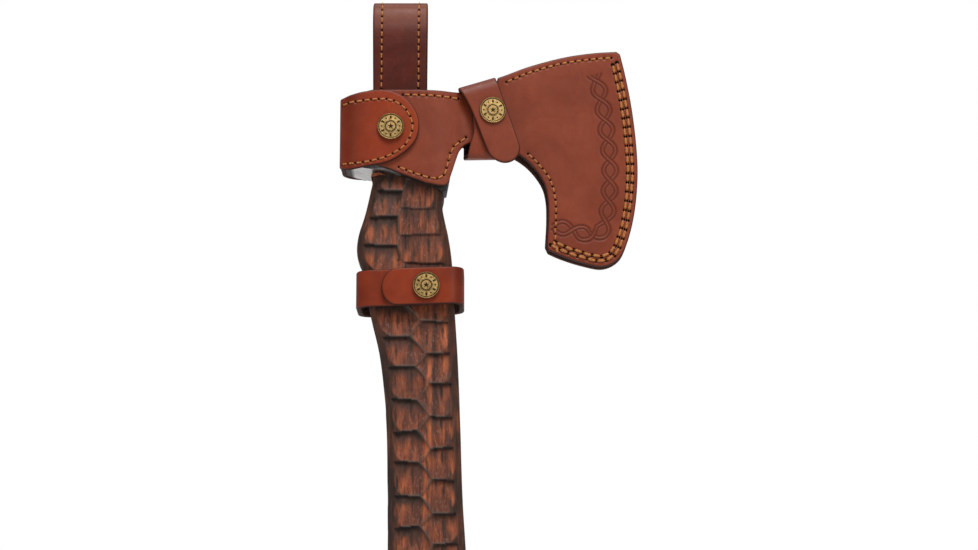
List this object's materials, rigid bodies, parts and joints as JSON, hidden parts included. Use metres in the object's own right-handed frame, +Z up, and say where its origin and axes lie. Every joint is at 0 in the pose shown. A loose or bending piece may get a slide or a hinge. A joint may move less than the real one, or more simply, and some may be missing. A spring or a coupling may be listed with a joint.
{
  "type": "hatchet in a leather sheath",
  "caption": "Bearded hatchet with a carved wooden handle, carried in a stitched leather sheath with a belt loop and snap straps round poll, neck and handle.",
  "frame": {"origin": "middle of the inside top of the belt loop, where the belt carries the sheath", "axes": "+Z up with the handle hanging down, +X from the poll towards the cutting edge, -Y out of the front face with the snaps"},
  "size_m": [0.1614, 0.0643, 0.4914],
  "materials": {
    "leather": "smooth waxed leather, reddish brown",
    "loop_leather": "smooth waxed leather, darker brown",
    "welt": "burnished black edge",
    "thread": "waxed golden thread",
    "brass": "antique brass",
    "steel": "ground and polished steel",
    "handle_wood": "scorched, carved and oiled wood",
    "wedge_wood": "plain hardwood end grain"
  },
  "bodies": {
    "sheath": {"front_panel": "leather", "back_panel": "leather", "edge_welt": "welt", "belt_loop": "loop_leather", "hanger_strap": "leather", "poll_bend": "leather", "neck_fold_top": "leather", "neck_fold_under": "leather", "neck_band": "leather", "neck_band_end": "leather", "handle_band": "leather", "handle_bend_left": "leather", "handle_band_end": "leather", "handle_bend_right": "leather", "poll_snap_stud": "brass", "poll_snap_rivet": "brass", "neck_snap_stud": "brass", "neck_snap_rivet": "brass", "handle_snap_stud": "brass", "handle_snap_rivet": "brass", "loop_rivet_left": "brass", "loop_rivet_right": "brass", "hanger_rivet_left": "brass", "hanger_rivet_right": "brass", "seam_edge_outer_front": "thread", "seam_edge_outer_back": "thread", "seam_edge_inner_front": "thread", "seam_edge_inner_back": "thread", "seam_toe_front": "thread", "seam_beard_front": "thread", "seam_eye_top_front": "thread", "seam_eye_lower_front": "thread", "seam_loop_left": "thread", "seam_loop_right": "thread"},
    "axe": {"axe_head": "steel", "handle": "handle_wood", "eye_wedge": "wedge_wood", "steel_wedge": "steel"},
    "poll_flap": {"poll_tongue": "leather", "poll_snap_cap": "brass", "poll_snap_socket": "brass", "seam_tongue": "thread"},
    "neck_flap": {"neck_tongue": "leather", "neck_snap_cap": "brass", "neck_snap_socket": "brass"},
    "handle_flap": {"handle_tongue": "leather", "handle_snap_cap": "brass", "handle_snap_socket": "brass"}
  },
  "joints": [
    {"name": "axe_draw", "type": "slide", "parent": "sheath", "child": "axe", "axis": [-0.9135, 0, 0.4067], "range_m": [0, 0.19], "deforming": ["poll_bend", "neck_fold_top", "neck_fold_under", "handle_bend_left"]},
    {"name": "poll_flap_fold", "type": "hinge", "parent": "sheath", "child": "poll_flap", "pos_m": [-0.02125, -0.0517, -0.0839], "axis": [0, 0, -1], "range_deg": [0, 115], "deforming": ["poll_bend"]},
    {"name": "neck_flap_fold", "type": "hinge", "parent": "sheath", "child": "neck_flap", "pos_m": [0.0373, -0.04737, -0.06456], "axis": [-0.9453, -0.1091, -0.3074], "range_deg": [0, 150], "deforming": ["neck_fold_top"]},
    {"name": "handle_flap_fold", "type": "hinge", "parent": "sheath", "child": "handle_flap", "pos_m": [0.0269, -0.0503, -0.1677], "axis": [0, 0, 1], "range_deg": [0, 150], "deforming": ["handle_bend_right"]}
  ]
}
